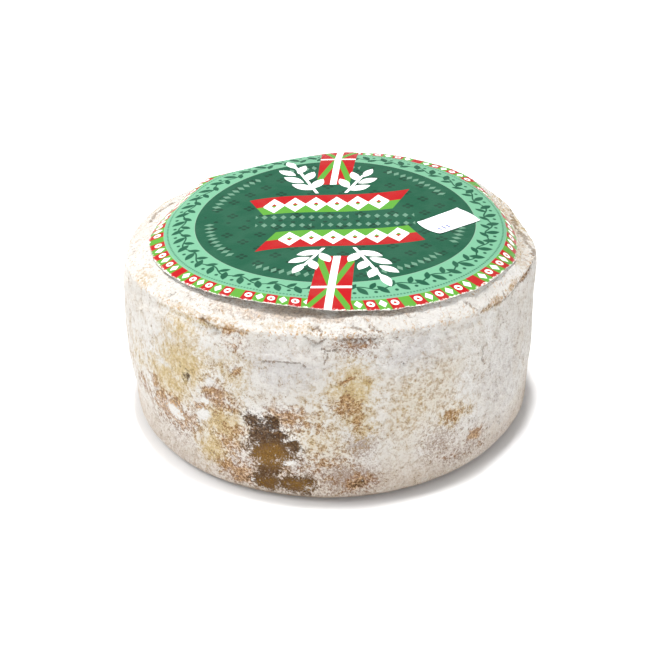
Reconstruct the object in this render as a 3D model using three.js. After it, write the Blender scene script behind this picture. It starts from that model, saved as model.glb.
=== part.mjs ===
// A whole cheese: a low drum of cheese in a mould-ripened rind, with a round
// paper label lying on its top face and a small price sticker on the label.
// Units are millimetres. Z is up, and the cheese rests on its flat foot at Z = 0.
import * as THREE from "three";

// ---- The cheese: a drum that was pressed in a mould and then slumped a little ----
const WHEEL_RADIUS = 99.7; // the widest part of the side
const FOOT_RADIUS = 91; // the flat that it stands on
const FOOT_HEIGHT = 6; // height of the rounding between foot and side
const SHOULDER_Z = 69; // where the side begins to round over
const RIM_RADIUS = 88.5; // where the shoulder meets the top face
const RIM_Z = 92.4; // height of the rim
const BELLY_DIP = 0.5; // how far the side pulls in at its ends
const WHEEL_STEPS = 80; // facets around
// Out of round: [waves around, size as a share of the radius, angle in degrees].
const OUT_OF_ROUND = [
  [2, 0.003, 45],
  [3, 0.0058, 5],
  [4, 0.0068, 15],
];

// Where the side draws in just above the foot: [depth in mm, angle, reach in degrees].
const TUCKS = [
  [3.4, -160, 34],
  [1.6, -8, 34],
];

// ---- The label: a printed paper disc, a little off the centre of the top ----
const LABEL_RADIUS = 89;
const LABEL_THICKNESS = 0.4;
const LABEL_OFFSET = new THREE.Vector2(3.5, -2.3); // its centre from the wheel's
const LABEL_GAP = 0.6; // clearance between rind and paper
const LABEL_STEPS = 80;
// The top face under the label: a faint dish inside a raised ring, higher at
// front and back than at the sides.
const TOP_Z = 94.9;
const RING_REACH = 81.9; // radius at which the shares below apply
const RING_RISE = 4.4;
const RING_FALL = 5.4;
const SADDLE = 1.85;
// Stretches of the edge pressed down over the shoulder. A straight crease has the
// angle of its normal, its distance from the label's centre and its slope (fall
// for each mm outwards). A round bend follows the edge and fades out sideways.
const CREASES = [
  { angle: 115, distance: 80.6, slope: 0.9 },
  { angle: 159, distance: 80.0, slope: 0.55 },
];
const ROUND_BEND = { angle: 4, width: 27, distance: 81.8, slope: 1.1 };
const BEND_SOFTNESS = 1.1;
const RIND_REACH = 7.5; // how far out the rind follows a bend
// Waves in the edge: angle, half width in degrees, rise in mm.
const EDGE_WAVES = [
  { angle: -112, width: 17, rise: 2.2 },
  { angle: -62, width: 20, rise: -1.6 },
  { angle: 98, width: 32, rise: -2.2 },
  { angle: 138, width: 6, rise: 1.6 },
];
const WAVE_START = 66; // radius at which the waves begin

// ---- The price sticker ----
const STICKER_LENGTH = 26;
const STICKER_WIDTH = 16;
const STICKER_THICKNESS = 0.3;
const STICKER_GAP = 0.4;
const STICKER_PLACE = new THREE.Vector2(54, -3.3); // from the label's centre
const STICKER_TURN = 38.5; // degrees
const STICKER_WAVE = 1.3; // how far its cut ends bulge

const toRadians = THREE.MathUtils.degToRad;
const toDegrees = THREE.MathUtils.radToDeg;
const smoothstep = THREE.MathUtils.smoothstep;

/** A ramp that is flat before zero, rises one for one after it, and bends softly. */
function softRamp(distance, softness) {
  const t = distance / softness;
  return t > 20 ? distance : softness * Math.log1p(Math.exp(t));
}

/** The smaller of two heights, with the corner between them rounded. */
function softLower(a, b, softness) {
  return a - softRamp(a - b, softness);
}

/** How much wider than a true circle the wheel is in one direction. */
function roundness(angle) {
  let scale = 1;
  for (const [waves, size, at] of OUT_OF_ROUND) {
    scale += size * Math.cos(waves * (angle - toRadians(at)));
  }
  return scale;
}

/** Difference between two directions in degrees, from -180 to 180. */
function turnBetween(a, b) {
  return ((((a - b + 180) % 360) + 360) % 360) - 180;
}

/** Every bend near a point: how far past it the point lies, its slope, its direction. */
function bendsAt(x, y) {
  const bends = CREASES.map(({ angle, distance, slope }) => {
    const out = new THREE.Vector2(Math.cos(toRadians(angle)), Math.sin(toRadians(angle)));
    return { past: x * out.x + y * out.y - distance, slope, out };
  });
  const radius = Math.max(Math.hypot(x, y), 1e-6);
  const away = turnBetween(toDegrees(Math.atan2(y, x)), ROUND_BEND.angle) / ROUND_BEND.width;
  bends.push({
    past: radius - ROUND_BEND.distance,
    slope: ROUND_BEND.slope * Math.exp(-(away ** 4)),
    out: new THREE.Vector2(x / radius, y / radius),
  });
  return bends;
}

/** How far the bends lower the label; reach limits how far out they run. */
function bendDrop(x, y, reach) {
  let drop = 0;
  for (const { past, slope } of bendsAt(x, y)) {
    drop = Math.max(drop, slope * softRamp(Math.min(past, reach), BEND_SOFTNESS));
  }
  return drop;
}

/** The dished and saddled top face, without creases or waves. */
function topFace(x, y) {
  const share = (x * x + y * y) / RING_REACH ** 2;
  const saddle = (SADDLE * (x * x - y * y)) / RING_REACH ** 2;
  return TOP_Z + RING_RISE * share - RING_FALL * share * share - saddle;
}

/** How much the waves lift the label's edge. */
function edgeWave(x, y) {
  const angle = toDegrees(Math.atan2(y, x));
  const share = Math.max(0, (Math.hypot(x, y) - WAVE_START) / (LABEL_RADIUS - WAVE_START));
  let lift = 0;
  for (const wave of EDGE_WAVES) {
    lift += wave.rise * Math.exp(-0.5 * (turnBetween(angle, wave.angle) / wave.width) ** 2);
  }
  return lift * share ** 1.2;
}

/** Height of the label's underside over a point measured from its own centre. */
function labelUnderside(x, y) {
  return topFace(x, y) - bendDrop(x, y, 100) + edgeWave(x, y);
}

/** Where a point of the flat paper goes: bent stretches reach less far out. */
function layPaper(u, v) {
  let x = u;
  let y = v;
  for (const { past, slope, out } of bendsAt(u, v)) {
    const pulledIn = softRamp(past, BEND_SOFTNESS) * (1 - 1 / Math.hypot(1, slope));
    x -= pulledIn * out.x;
    y -= pulledIn * out.y;
  }
  return new THREE.Vector3(x, y, labelUnderside(x, y));
}

/** The highest the rind may come at a point, so that the label lies over it. */
function rindLimit(x, y) {
  const u = x - LABEL_OFFSET.x;
  const v = y - LABEL_OFFSET.y;
  const sag = Math.min(0, edgeWave(u, v));
  return topFace(u, v) - bendDrop(u, v, RIND_REACH) + sag - LABEL_GAP;
}

/** Points along a quarter of an ellipse, leaving out the first. */
function quarterArc(centre, reach, from, to, steps) {
  const points = [];
  for (let i = 1; i <= steps; i += 1) {
    const t = toRadians(from + ((to - from) * i) / steps);
    points.push(new THREE.Vector2(centre.x + reach.x * Math.cos(t), centre.y + reach.y * Math.sin(t)));
  }
  return points;
}

/** Half section of the wheel, from the middle of the foot to the middle of the top. */
function wheelProfile() {
  const footCentre = new THREE.Vector2(FOOT_RADIUS, FOOT_HEIGHT);
  const footReach = new THREE.Vector2(WHEEL_RADIUS - BELLY_DIP - FOOT_RADIUS, FOOT_HEIGHT);
  const rimCentre = new THREE.Vector2(RIM_RADIUS, SHOULDER_Z);
  const rimReach = new THREE.Vector2(WHEEL_RADIUS - BELLY_DIP - RIM_RADIUS, RIM_Z - SHOULDER_Z);
  const foot = [0, 30, 60, 80, FOOT_RADIUS].map((r) => new THREE.Vector2(r, 0));
  const side = [16, 27, 38, 49, 60].map((z) => {
    const share = (z - FOOT_HEIGHT) / (SHOULDER_Z - FOOT_HEIGHT);
    return new THREE.Vector2(WHEEL_RADIUS - BELLY_DIP * (1 - Math.sin(Math.PI * share)), z);
  });
  const top = [86, 84, 82, 80, 78, 75, 70, 60, 46, 32, 16, 0].map((r) => new THREE.Vector2(r, RIM_Z));
  return [
    ...foot,
    ...quarterArc(footCentre, footReach, -90, 0, 4),
    ...side,
    ...quarterArc(rimCentre, rimReach, 0, 90, 9),
    ...top,
  ];
}

/** Slow hollows and swellings in the side, in millimetres. */
function sideSwell(angle, z) {
  return (
    0.45 * Math.sin(5 * angle + z / 21 + 3.6) +
    0.35 * Math.sin(9 * angle - z / 14 + 2.1) +
    0.25 * Math.sin(14 * angle + z / 9)
  );
}

/** How far the side is drawn in just above the foot, in millimetres. */
function tuck(angle, z) {
  let total = 0;
  for (const [depth, at, reach] of TUCKS) {
    const ahead = angle - THREE.MathUtils.degToRad(at);
    const turn = THREE.MathUtils.euclideanModulo(ahead + Math.PI, 2 * Math.PI) - Math.PI;
    total += depth * Math.exp(-((turn / THREE.MathUtils.degToRad(reach)) ** 2));
  }
  return total * (1 - smoothstep(z, 12, 36));
}

/** Turns the plain turned drum into the slumped cheese. */
function shapeRind(point) {
  const radius = Math.hypot(point.x, point.y);
  const angle = Math.atan2(point.y, point.x);
  const height = point.z;
  const onSide = smoothstep(radius, 80, 96) * smoothstep(height, 0.5, 12);
  const drawnIn = smoothstep(radius, 60, 90) * tuck(angle, height);
  const shaped = radius * roundness(angle) + onSide * sideSwell(angle, height) - drawnIn;
  point.x = shaped * Math.cos(angle);
  point.y = shaped * Math.sin(angle);
  if (height > SHOULDER_Z) {
    const limit = rindLimit(point.x, point.y);
    const upTop = smoothstep(RIM_RADIUS - radius, 0, 12);
    const plain = THREE.MathUtils.lerp(height, limit + 1, upTop);
    point.z = radius < 70 ? limit : softLower(plain, limit, 0.5);
  }
  return point;
}

/** Moves every vertex of a geometry by a function of its place. */
function reshape(geometry, move) {
  const places = geometry.attributes.position;
  const point = new THREE.Vector3();
  for (let i = 0; i < places.count; i += 1) {
    point.fromBufferAttribute(places, i);
    move(point);
    places.setXYZ(i, point.x, point.y, point.z);
  }
  geometry.computeVertexNormals();
  return geometry;
}

/** A turned solid about Z from a half section of (radius, height) points. */
function turned(points, steps) {
  const geometry = new THREE.LatheGeometry(points, steps);
  geometry.rotateX(Math.PI / 2);
  return geometry;
}

function makeWheel() {
  return reshape(turned(wheelProfile(), WHEEL_STEPS), shapeRind);
}

function makeLabel() {
  const rings = [0, 20, 40, 56, 66, 72, 75.5, 78, 79.6, 81, 82.5, 84.5, 87, LABEL_RADIUS];
  const under = rings.map((r) => new THREE.Vector2(r, 0));
  const over = rings.map((r) => new THREE.Vector2(r, LABEL_THICKNESS)).reverse();
  return reshape(turned([...under, ...over], LABEL_STEPS), (point) => {
    const thickness = point.z;
    const place = layPaper(point.x, point.y);
    point.set(place.x + LABEL_OFFSET.x, place.y + LABEL_OFFSET.y, place.z + thickness);
  });
}

function makeSticker() {
  const flat = new THREE.BoxGeometry(STICKER_LENGTH, STICKER_WIDTH, STICKER_THICKNESS, 10, 8, 1);
  const turn = toRadians(STICKER_TURN);
  return reshape(flat, (point) => {
    const endwise = point.x / (STICKER_LENGTH / 2);
    const across = point.y / STICKER_WIDTH + 0.5;
    const bulge = STICKER_WAVE * Math.sin(Math.PI * across) * endwise;
    const along = point.x + bulge * Math.abs(endwise);
    const x = STICKER_PLACE.x + along * Math.cos(turn) - point.y * Math.sin(turn);
    const y = STICKER_PLACE.y + along * Math.sin(turn) + point.y * Math.cos(turn);
    const base = labelUnderside(x, y) + LABEL_THICKNESS + STICKER_GAP;
    const thickness = point.z + STICKER_THICKNESS / 2;
    point.set(x + LABEL_OFFSET.x, y + LABEL_OFFSET.y, base + thickness);
  });
}

function solid(name, geometry, color, roughness) {
  const material = new THREE.MeshStandardMaterial({ color, roughness, metalness: 0 });
  const mesh = new THREE.Mesh(geometry, material);
  mesh.name = name;
  return mesh;
}

const cheese = new THREE.Group();
cheese.name = "cheese";
cheese.add(
  solid("cheese_wheel", makeWheel(), 0xe9e0cc, 0.85),
  solid("paper_label", makeLabel(), 0x3f7358, 0.5),
  solid("price_sticker", makeSticker(), 0xf8f8f6, 0.6),
);

// The frame's origin is the middle of the wheel's outline, at the foot.
const outline = new THREE.Box3().setFromObject(cheese);
const middle = outline.getCenter(new THREE.Vector3());
for (const mesh of cheese.children) {
  mesh.geometry.translate(-middle.x, -middle.y, 0);
}

export default cheese;
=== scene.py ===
# %% [markdown]
# # A whole cheese with a paper label
#
# The object is a drum of cheese, about 200 mm across, in a dry mould-ripened rind.
# A printed paper disc lies on its top face and a small price sticker is stuck on
# the disc. The frame already holds simple solids for all three, with their sizes.
# This script makes the detailed rind, paper and sticker that take their places.

# %% Load the frame
import math

import bpy
import numpy as np
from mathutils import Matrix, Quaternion, Vector


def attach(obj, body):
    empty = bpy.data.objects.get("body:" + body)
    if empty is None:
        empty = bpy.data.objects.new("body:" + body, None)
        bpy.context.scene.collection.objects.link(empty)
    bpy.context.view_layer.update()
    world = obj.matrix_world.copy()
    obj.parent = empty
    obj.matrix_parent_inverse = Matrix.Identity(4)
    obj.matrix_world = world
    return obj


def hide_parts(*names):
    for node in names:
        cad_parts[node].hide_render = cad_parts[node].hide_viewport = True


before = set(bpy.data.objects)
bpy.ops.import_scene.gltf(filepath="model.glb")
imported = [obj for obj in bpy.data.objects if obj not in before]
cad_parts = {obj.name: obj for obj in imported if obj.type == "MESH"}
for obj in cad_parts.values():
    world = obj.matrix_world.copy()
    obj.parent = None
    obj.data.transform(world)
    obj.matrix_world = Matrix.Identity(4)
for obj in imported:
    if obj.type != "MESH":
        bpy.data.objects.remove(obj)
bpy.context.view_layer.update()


# %% [markdown]
# ## The drum's own shape
#
# The rind has to fit its solid, so the same driving sizes are repeated here in
# millimetres. The cheese was pressed in a round mould and then slumped. Its outline
# is a circle with three slow waves, its shoulder is a quarter of an ellipse, and its
# top follows the paper that was laid on it while it was still soft.

# %% Driving sizes of the drum, in millimetres
MM = 0.001
WHEEL_RADIUS = 99.7
FOOT_RADIUS = 91.0
FOOT_HEIGHT = 6.0
SHOULDER_Z = 69.0
RIM_RADIUS = 88.5
RIM_Z = 92.4
BELLY_DIP = 0.5
OUT_OF_ROUND = [(2, 0.003, 45), (3, 0.0058, 5), (4, 0.0068, 15)]  # waves, size, angle
# Where the side draws in above the foot: (depth in mm, angle, reach in degrees).
TUCKS = [(3.4, -160, 34), (1.6, -8, 34)]

LABEL_RADIUS = 89.0
LABEL_CENTRE = (3.5, -2.3)  # the label lies a little off the wheel's centre
LABEL_GAP = 0.6
TOP_Z = 94.9
RING_REACH = 81.9
RING_RISE = 4.4
RING_FALL = 5.4
SADDLE = 1.85
CREASES = [(115, 80.6, 0.9), (159, 80.0, 0.55)]  # angle, distance, slope
ROUND_BEND = (4, 27, 81.8, 1.1)  # angle, width, distance, slope
BEND_SOFTNESS = 1.1
RIND_REACH = 7.5
EDGE_WAVES = [(-112, 17, 2.2), (-62, 20, -1.6), (98, 32, -2.2), (138, 6, 1.6)]
WAVE_START = 66.0


def soft_ramp(distance, softness):
    """Flat before zero, one for one after it, with a rounded corner."""
    share = distance / softness
    bent = softness * np.log1p(np.exp(np.minimum(share, 20)))
    return np.where(share > 20, distance, bent)


def smoothstep(low, high, value):
    """0 below low, 1 above high, and an S-curve between them."""
    share = np.clip((value - low) / (high - low), 0, 1)
    return share * share * (3 - 2 * share)


def turn_between(a, b):
    """Difference between two directions in degrees, from -180 to 180."""
    return (a - b + 180) % 360 - 180


# %% Where the paper lies, and how high the rind may come under it
def bends_at(x, y):
    """Every bend of the paper near a point: how far past it, slope and direction."""
    bends = []
    for angle, distance, slope in CREASES:
        out_x = math.cos(math.radians(angle))
        out_y = math.sin(math.radians(angle))
        bends.append((x * out_x + y * out_y - distance, slope, out_x, out_y))
    angle, width, distance, slope = ROUND_BEND
    radius = np.maximum(np.hypot(x, y), 1e-6)
    away = turn_between(np.degrees(np.arctan2(y, x)), angle) / width
    bends.append((radius - distance, slope * np.exp(-(away**4)), x / radius, y / radius))
    return bends


def bend_drop(x, y, reach):
    """How far the bends lower the paper."""
    drop = 0.0
    for past, slope, _, _ in bends_at(x, y):
        drop = np.maximum(drop, slope * soft_ramp(np.minimum(past, reach), BEND_SOFTNESS))
    return drop


def top_face(x, y):
    """The dished top face, higher at front and back than at the sides."""
    share = (x * x + y * y) / RING_REACH**2
    saddle = SADDLE * (x * x - y * y) / RING_REACH**2
    return TOP_Z + RING_RISE * share - RING_FALL * share**2 - saddle


def edge_wave(x, y):
    """How much the paper's edge lifts or sags."""
    angle = np.degrees(np.arctan2(y, x))
    share = np.maximum(0, (np.hypot(x, y) - WAVE_START) / (LABEL_RADIUS - WAVE_START))
    lift = 0.0
    for at, width, rise in EDGE_WAVES:
        lift = lift + rise * np.exp(-0.5 * (turn_between(angle, at) / width) ** 2)
    return lift * share**1.2


def label_underside(x, y):
    """Height of the paper's underside, from the label's own centre."""
    return top_face(x, y) - bend_drop(x, y, 100) + edge_wave(x, y)


def lay_paper(u, v):
    """Where a point of the flat paper goes once it is laid on the cheese."""
    x = u
    y = v
    for past, slope, out_x, out_y in bends_at(u, v):
        pulled_in = soft_ramp(past, BEND_SOFTNESS) * (1 - 1 / np.hypot(1, slope))
        x = x - pulled_in * out_x
        y = y - pulled_in * out_y
    return x, y, label_underside(x, y)


def rind_limit(x, y):
    """The highest that the rind may come at a point of the wheel."""
    u = x - LABEL_CENTRE[0]
    v = y - LABEL_CENTRE[1]
    sag = np.minimum(0, edge_wave(u, v))
    return top_face(u, v) - bend_drop(u, v, RIND_REACH) + sag - LABEL_GAP


def tuck(angle, height):
    """How far the side is drawn in just above the foot, at the left and the right."""
    total = 0.0
    for depth, at, reach in TUCKS:
        turn = np.mod(angle - math.radians(at) + math.pi, 2 * math.pi) - math.pi
        total = total + depth * np.exp(-((turn / math.radians(reach)) ** 2))
    return total * (1 - smoothstep(12, 36, height))


def shape_rind(radius, angle, height):
    """Turns points of a plain turned drum into points of the slumped cheese."""
    roundness = 1.0
    for waves, size, at in OUT_OF_ROUND:
        roundness = roundness + size * np.cos(waves * (angle - math.radians(at)))
    swell = 0.45 * np.sin(5 * angle + height / 21 + 3.6)
    swell = swell + 0.35 * np.sin(9 * angle - height / 14 + 2.1)
    swell = swell + 0.25 * np.sin(14 * angle + height / 9)
    on_side = smoothstep(80, 96, radius) * smoothstep(0.5, 12, height)
    drawn_in = smoothstep(60, 90, radius) * tuck(angle, height)
    shaped = radius * roundness + on_side * swell - drawn_in
    x = shaped * np.cos(angle)
    y = shaped * np.sin(angle)
    limit = rind_limit(x, y)
    up_top = smoothstep(0, 12, RIM_RADIUS - radius)
    plain = height + (limit + 1 - height) * up_top
    under_label = np.where(radius < 70, limit, plain - soft_ramp(plain - limit, 0.5))
    return x, y, np.where(height > SHOULDER_Z, under_label, height)


print("paper at its centre lies at", float(label_underside(0.0, 0.0)), "mm")

# %% [markdown]
# ## A grid that wraps the whole drum
#
# The rind could be sculpted by hand or with a Displace modifier. Here it is a grid
# of rows and columns worked out with numpy, because then every bump, crack and stain
# can be placed by an angle round the wheel and a height above the foot. The rows
# are close together on the side and shoulder, which are seen, and wide apart under
# the paper and under the foot.

# %% Rows of the grid, from the middle of the foot to the middle of the top
COLUMNS = 590


def quarter_arc(centre, reach, start, end, steps):
    """Points along a quarter of an ellipse, leaving out the first."""
    turn = np.radians(np.linspace(start, end, steps + 1)[1:])
    return np.stack([centre[0] + reach[0] * np.cos(turn), centre[1] + reach[1] * np.sin(turn)], 1)


def drum_rows():
    """The half section as (radius, height) rows."""
    side_radius = WHEEL_RADIUS - BELLY_DIP
    foot = np.array([(r, 0.0) for r in (0, 30, 55, 72, 82, 88, FOOT_RADIUS)])
    foot_reach = (side_radius - FOOT_RADIUS, FOOT_HEIGHT)
    rim_reach = (side_radius - RIM_RADIUS, RIM_Z - SHOULDER_Z)
    side_z = np.linspace(FOOT_HEIGHT, SHOULDER_Z, 71)[1:]
    share = (side_z - FOOT_HEIGHT) / (SHOULDER_Z - FOOT_HEIGHT)
    side_r = WHEEL_RADIUS - BELLY_DIP * (1 - np.sin(np.pi * share))
    top_r = np.concatenate([np.linspace(RIM_RADIUS, 70, 21)[1:], [62, 48, 32, 16, 0]])
    top = np.stack([top_r, np.full(len(top_r), RIM_Z)], 1)
    return np.concatenate(
        [
            foot,
            quarter_arc((FOOT_RADIUS, FOOT_HEIGHT), foot_reach, -90, 0, 10),
            np.stack([side_r, side_z], 1),
            quarter_arc((RIM_RADIUS, SHOULDER_Z), rim_reach, 0, 90, 44),
            top,
        ]
    )


rows = drum_rows()
angles = np.linspace(-math.pi, math.pi, COLUMNS, endpoint=False)
turned_r = np.repeat(rows[:, :1], COLUMNS, 1)
turned_z = np.repeat(rows[:, 1:], COLUMNS, 1)
around = np.repeat(angles[None], len(rows), 0)
plain_x, plain_y, plain_z = shape_rind(turned_r, around, turned_z)
plain = np.stack([plain_x, plain_y, plain_z], -1)

# The frame's origin is the middle of the outline, so the drum is moved there.
MIDDLE = np.array([plain_x.max() + plain_x.min(), plain_y.max() + plain_y.min(), 0.0]) / 2
plain = plain - MIDDLE


def grid_normals(points):
    """Outward directions on a grid that closes round the drum."""
    along = np.roll(points, -1, 1) - np.roll(points, 1, 1)
    up = np.gradient(points, axis=0)
    across = np.cross(along, up)
    length = np.linalg.norm(across, axis=-1, keepdims=True)
    outward = across / np.maximum(length, 1e-9)
    outward[0] = (0, 0, -1)
    outward[-1] = (0, 0, 1)
    return outward


normals = grid_normals(plain)
print("rind grid:", plain.shape[0], "rows by", plain.shape[1], "columns, middle", MIDDLE.round(2))

# %% [markdown]
# ## Lumps, wrinkles and flakes
#
# A rind is rough at every scale: slow dents from handling, wrinkles a few
# millimetres wide and fine crumbs. Smooth noise on a lattice gives all of these. The
# numbers come from a fixed mixing rule instead of a random generator, so the cheese
# is the same each time.

# %% Smooth noise made with numpy
def lattice_value(cell, seed):
    """A number from -1 to 1 for each whole-number cell."""
    mixed = cell[..., 0] * 73856093 ^ cell[..., 1] * 19349663 ^ cell[..., 2] * 83492791
    mixed = (mixed ^ (seed * 2654435761)) & 0xFFFFFFFF
    mixed = ((mixed ^ (mixed >> 15)) * 2246822519) & 0xFFFFFFFF
    mixed = ((mixed ^ (mixed >> 13)) * 3266489917) & 0xFFFFFFFF
    return (mixed ^ (mixed >> 16)) / 2147483647.5 - 1


def smooth_noise(points, size, seed):
    """Smooth noise from -1 to 1, with lumps about `size` millimetres across."""
    scaled = points / size
    cell = np.floor(scaled).astype(np.int64)
    part = scaled - cell
    part = part * part * (3 - 2 * part)
    total = 0.0
    for corner in np.ndindex(2, 2, 2):
        step = np.array(corner)
        weight = np.prod(np.where(step == 1, part, 1 - part), axis=-1)
        total = total + weight * lattice_value(cell + step, seed)
    return total


def layered_noise(points, size, layers, seed):
    """Several sizes of noise added up, each half as large and half as strong."""
    total = 0.0
    for layer in range(layers):
        total = total + smooth_noise(points, size / 2**layer, seed + layer) / 2**layer
    return total / (2 - 0.5 ** (layers - 1))


def ridged_noise(points, size, layers, seed):
    """Noise folded at zero, which leaves sharp creases between soft lumps."""
    return 1 - 2 * np.abs(layered_noise(points, size, layers, seed))


print("noise sample:", float(smooth_noise(np.array([12.3, 4.5, 6.7]), 5, 1)))

# %% Marks are placed by angle and height
DEGREE = math.pi * WHEEL_RADIUS / 180  # one degree round the side, in millimetres
angle_deg = np.degrees(around)
height = plain[..., 2]

# The edges of a mark wander, so that no mark looks like a drawn oval.
wander_a = 3.2 * layered_noise(plain, 11, 3, 40) / DEGREE
wander_z = 3.2 * layered_noise(plain, 11, 3, 50)
on_wall = smoothstep(70, 84, turned_r)


def blot(angle, z, half_angle, half_height, strength=1.0):
    """A soft-edged mark on the wall of the cheese."""
    across = turn_between(angle_deg + wander_a, angle) / half_angle
    up = (height + wander_z - z) / half_height
    return strength * np.exp(-(across**2 + up**2) * 0.75) * on_wall


def blots(marks):
    """The strongest of several marks at each point."""
    total = np.zeros_like(height)
    for mark in marks:
        total = np.maximum(total, blot(*mark))
    return total


def line_distance(corners):
    """How far each point of the wall is from a line of (angle, height) corners."""
    nearest = np.full(height.shape, 99.0)
    for (a0, z0), (a1, z1) in zip(corners[:-1], corners[1:]):
        x = turn_between(angle_deg, a0) * DEGREE
        y = height - z0
        run_x = turn_between(a1, a0) * DEGREE
        run_y = z1 - z0
        share = np.clip((x * run_x + y * run_y) / (run_x**2 + run_y**2), 0, 1)
        nearest = np.minimum(nearest, np.hypot(x - share * run_x, y - share * run_y))
    return nearest


print("one degree round the side is", round(DEGREE, 2), "mm")

# %% [markdown]
# ## Stains, by kind
#
# Each kind of stain is a list of marks: where it is round the wheel in degrees, its
# height, half its width in degrees, half its height and its strength. The front is
# at -90 degrees and the right at 0. The marks are kept on the mesh as attributes,
# which the rind's material reads and breaks up into fine speckle.

# %% Marks round the wheel
OCHRE = [
    (-131, 78, 6, 9, 0.62), (-131, 61, 9, 12, 0.95), (-138, 47, 9, 12, 0.85),
    (-153, 46, 9, 12, 0.45), (-119, 36, 6, 10, 1.0), (-123.5, 21, 5, 11, 0.9),
    (-126, 85.5, 14, 2.6, 0.9), (-152, 86.8, 4, 1.7, 1.0), (-116, 62, 6, 12, 0.55),
    (-85, 57, 5.5, 15, 0.95), (-82, 42, 3.5, 8, 0.85), (-95, 40, 8, 20, 0.5),
    (-70, 48, 13, 16, 0.25), (-56, 36, 6, 6, 0.7), (-100, 88, 9, 2, 0.6),
    (-41, 81.5, 5, 1.6, 0.7), (-30, 82, 4, 1.6, 0.8), (-8, 87, 12, 4, 1.1),
    (14, 86, 12, 6, 1.2), (20, 40, 13, 18, 0.5), (48, 60, 10, 16, 0.7),
    (66, 30, 12, 12, 0.7), (95, 66, 12, 18, 0.6), (112, 84, 16, 4, 0.7),
    (128, 40, 14, 16, 0.85), (158, 62, 10, 15, 0.6), (172, 30, 8, 12, 0.6),
]
RUST_AND_PAINTED_SHADOW = [
    (-124, 86, 5, 1.6, 0.7), (-116.5, 85, 4.5, 2, 0.95), (-115, 80.5, 3, 4, 0.65),
    (-115, 66.5, 2, 3, 0.75), (-121, 50, 5, 9, 0.9), (-144, 41.5, 3, 4.5, 0.85),
    (-138, 30, 9, 10, 0.95), (-151, 33, 6, 4.5, 0.55), (-126, 41, 3, 4, 0.75),
    (-115, 35, 3.4, 4, 0.85), (-118, 26, 4, 7, 0.85), (-115, 11, 6.5, 7, 0.95),
    (-101, 46.5, 6, 6, 1.0), (-96, 40.5, 5, 2.6, 0.7), (-86, 51, 4, 5, 0.95),
    (-86, 64.5, 3.5, 1.6, 0.75), (-82.5, 42, 2, 5, 0.75), (-56, 36, 4, 4, 0.8),
    (-47, 18.5, 2.6, 3.0, 1.1), (-45.5, 11.5, 2, 3, 0.6), (-56, 12, 4.5, 2.4, 0.7),
    (-84, 10, 3.5, 5.5, 1.0), (-92, 20, 6, 14, 0.5), (-106, 22, 9, 18, 0.75),
    (-94, 88, 1.8, 2.4, 0.8), (-84, 81, 4.5, 4, 0.6), (-84, 86, 8, 2, 0.6),
    # The two long thin marks on the next line, along the top under the label's lifted front, are a
    # painted shadow of the label's edge, in rust colours.
    (-101, 92, 24, 1.6, 1.0), (-72, 91.6, 14, 1.4, 0.8),
    (-40, 82.0, 6, 1.2, 1.0), (-31, 81.6, 5, 1.2, 1.0), (-20, 81, 7, 1.3, 1.0),
    (24, 30, 4, 7, 0.7), (52, 48, 6, 6, 0.8), (70, 22, 5, 8, 0.85),
    (100, 50, 5, 9, 0.7), (124, 28, 9, 10, 0.95), (140, 70, 4, 4, 0.7), (170, 22, 5, 6, 0.8),
]
BRUISE = [
    (-110.5, 42.5, 3.0, 3.6, 0.95), (-105, 42, 2.6, 4.5, 1.0),
    (-108, 36, 4.0, 5, 1.0), (-104.6, 35, 4.0, 5, 1.0),
    (-105.3, 27, 6.0, 8.5, 1.15), (-99.6, 30, 1.8, 4, 1.0), (-106.3, 17, 3.4, 4, 1.0),
    (-107, 9.8, 5.0, 5.0, 1.1), (-99.2, 10, 5.0, 5.4, 0.9), (-83.5, 9.5, 2.0, 3.2, 0.6),
    (-131, 55.5, 1.3, 2.7, 0.8), (122, 22, 6, 7, 0.9), (60, 14, 5, 5, 0.8),
]
GOLD = [
    (-105.6, 24.5, 4.0, 6.0, 1.15), (-107, 9, 5, 4.5, 0.5),
    (-99, 10, 4.2, 3.6, 0.6), (121, 22, 4, 4.5, 0.8),
]
MAUVE = [
    (-84, 81, 6, 5, 0.7), (-96, 14, 9, 10, 0.5), (-138, 19, 12, 8, 0.35),
    (-118, 14, 6, 7, 0.6), (-83, 32, 5, 7, 0.75), (-86, 14, 8, 9, 0.8),
    (-101, 47, 4, 4, 0.5), (-60, 24, 7, 12, 0.6),
    (-52, 12, 8, 5, 0.5), (10, 20, 12, 10, 0.5), (90, 24, 14, 12, 0.6), (150, 20, 12, 8, 0.6),
]
COOL = [
    (-102, 70, 11, 12, 0.85), (-68, 74, 11, 8, 0.75), (-115.5, 29.5, 4.5, 3.2, 0.9),
    (-111, 19, 2.2, 3.4, 0.9), (-110, 35, 2, 3, 0.7), (-98, 21, 2.8, 5, 0.9),
    (-83.5, 82, 3.2, 4, 0.8), (-35, 40, 16, 30, 0.5), (80, 70, 12, 9, 0.7),
    (140, 60, 9, 9, 0.6),
]
WHITE = [
    (-137, 30.5, 2.6, 3.1, 1.0), (-134.8, 29.5, 1.4, 1.2, 1.0), (-125.6, 37, 1.6, 2.8, 1.0),
    (-124.3, 44.8, 1.8, 1.6, 0.9), (-122, 57.5, 1.2, 1.2, 0.9), (-111.2, 10, 0.7, 1.5, 0.9),
    (-100.6, 20, 1.1, 1.6, 0.8), (-140, 55, 2.2, 2.2, 0.5), (70, 34, 2, 2.4, 1.0),
    (128, 36, 2.4, 2.2, 1.0), (134, 28, 1.5, 2.4, 0.9), (50, 66, 1.6, 1.6, 0.9),
]
CURDS = [
    (-66, 50, 13, 20, 0.8), (-93, 26, 6, 20, 0.6), (-80, 66, 7, 8, 0.4),
    (40, 30, 16, 22, 0.8), (150, 44, 14, 22, 0.8), (-20, 30, 12, 20, 0.4),
]

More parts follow.
